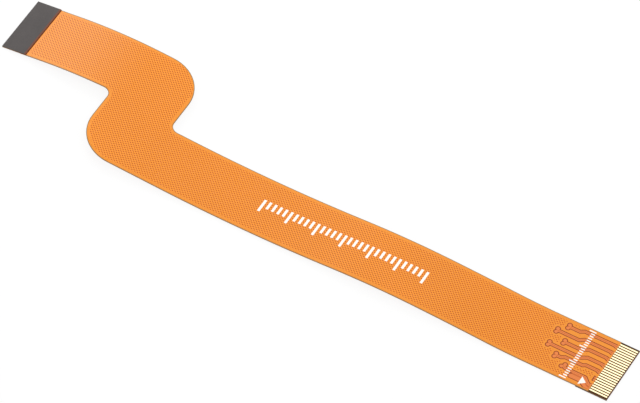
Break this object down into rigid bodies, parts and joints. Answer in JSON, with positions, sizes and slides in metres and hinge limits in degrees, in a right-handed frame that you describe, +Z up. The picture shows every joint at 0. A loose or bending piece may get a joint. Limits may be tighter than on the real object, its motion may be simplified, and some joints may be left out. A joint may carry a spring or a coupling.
{
  "type": "flat flex cable",
  "caption": "S-shaped flexible printed cable in amber film with hatched copper, a stiffened tail with gold contacts at each end, and contacts on opposite faces.",
  "frame": {"origin": "centre of the overall box, on the table the cable lies on", "axes": "+X along the cable towards the tail with its contacts on top, +Y towards the arm with its contacts underneath, +Z up"},
  "size_m": [0.1198, 0.0248, 0.0019],
  "materials": {
    "coverlay": "glossy amber polyimide film",
    "coverlay_over_copper": "glossy amber film over hatched copper",
    "coverlay_over_traces": "glossy amber film over solid copper",
    "stiffener": "plain dark film",
    "contact_gold": "smooth gold plating"
  },
  "bodies": {
    "root": {"flex_film": "coverlay", "ground_copper": "coverlay_over_copper", "left_stiffener": "stiffener", "right_stiffener": "stiffener", "supply_island": "coverlay_over_traces", "spare_stubs": "coverlay_over_traces", "underside_traces": "coverlay_over_traces", "signal_pair_1": "coverlay_over_traces", "signal_pair_2": "coverlay_over_traces", "signal_pair_3": "coverlay_over_traces", "signal_pair_4": "coverlay_over_traces", "signal_pair_5": "coverlay_over_traces", "signal_pair_6": "coverlay_over_traces", "left_contact_1": "contact_gold", "left_contact_2": "contact_gold", "left_contact_3": "contact_gold", "left_contact_4": "contact_gold", "left_contact_5": "contact_gold", "left_contact_6": "contact_gold", "left_contact_7": "contact_gold", "left_contact_8": "contact_gold", "left_contact_9": "contact_gold", "left_contact_10": "contact_gold", "left_contact_11": "contact_gold", "left_contact_12": "contact_gold", "left_contact_13": "contact_gold", "left_contact_14": "contact_gold", "left_contact_15": "contact_gold", "left_contact_16": "contact_gold", "left_contact_17": "contact_gold", "left_contact_18": "contact_gold", "left_contact_19": "contact_gold", "left_contact_20": "contact_gold", "left_contact_21": "contact_gold", "left_contact_22": "contact_gold", "right_contact_1": "contact_gold", "right_contact_2": "contact_gold", "right_contact_3": "contact_gold", "right_contact_4": "contact_gold", "right_contact_5": "contact_gold", "right_contact_6": "contact_gold", "right_contact_7": "contact_gold", "right_contact_8": "contact_gold", "right_contact_9": "contact_gold", "right_contact_10": "contact_gold", "right_contact_11": "contact_gold", "right_contact_12": "contact_gold", "right_contact_13": "contact_gold", "right_contact_14": "contact_gold", "right_contact_15": "contact_gold", "right_contact_16": "contact_gold", "right_contact_17": "contact_gold", "right_contact_18": "contact_gold", "right_contact_19": "contact_gold", "right_contact_20": "contact_gold", "right_contact_21": "contact_gold", "right_contact_22": "contact_gold"}
  },
  "joints": []
}
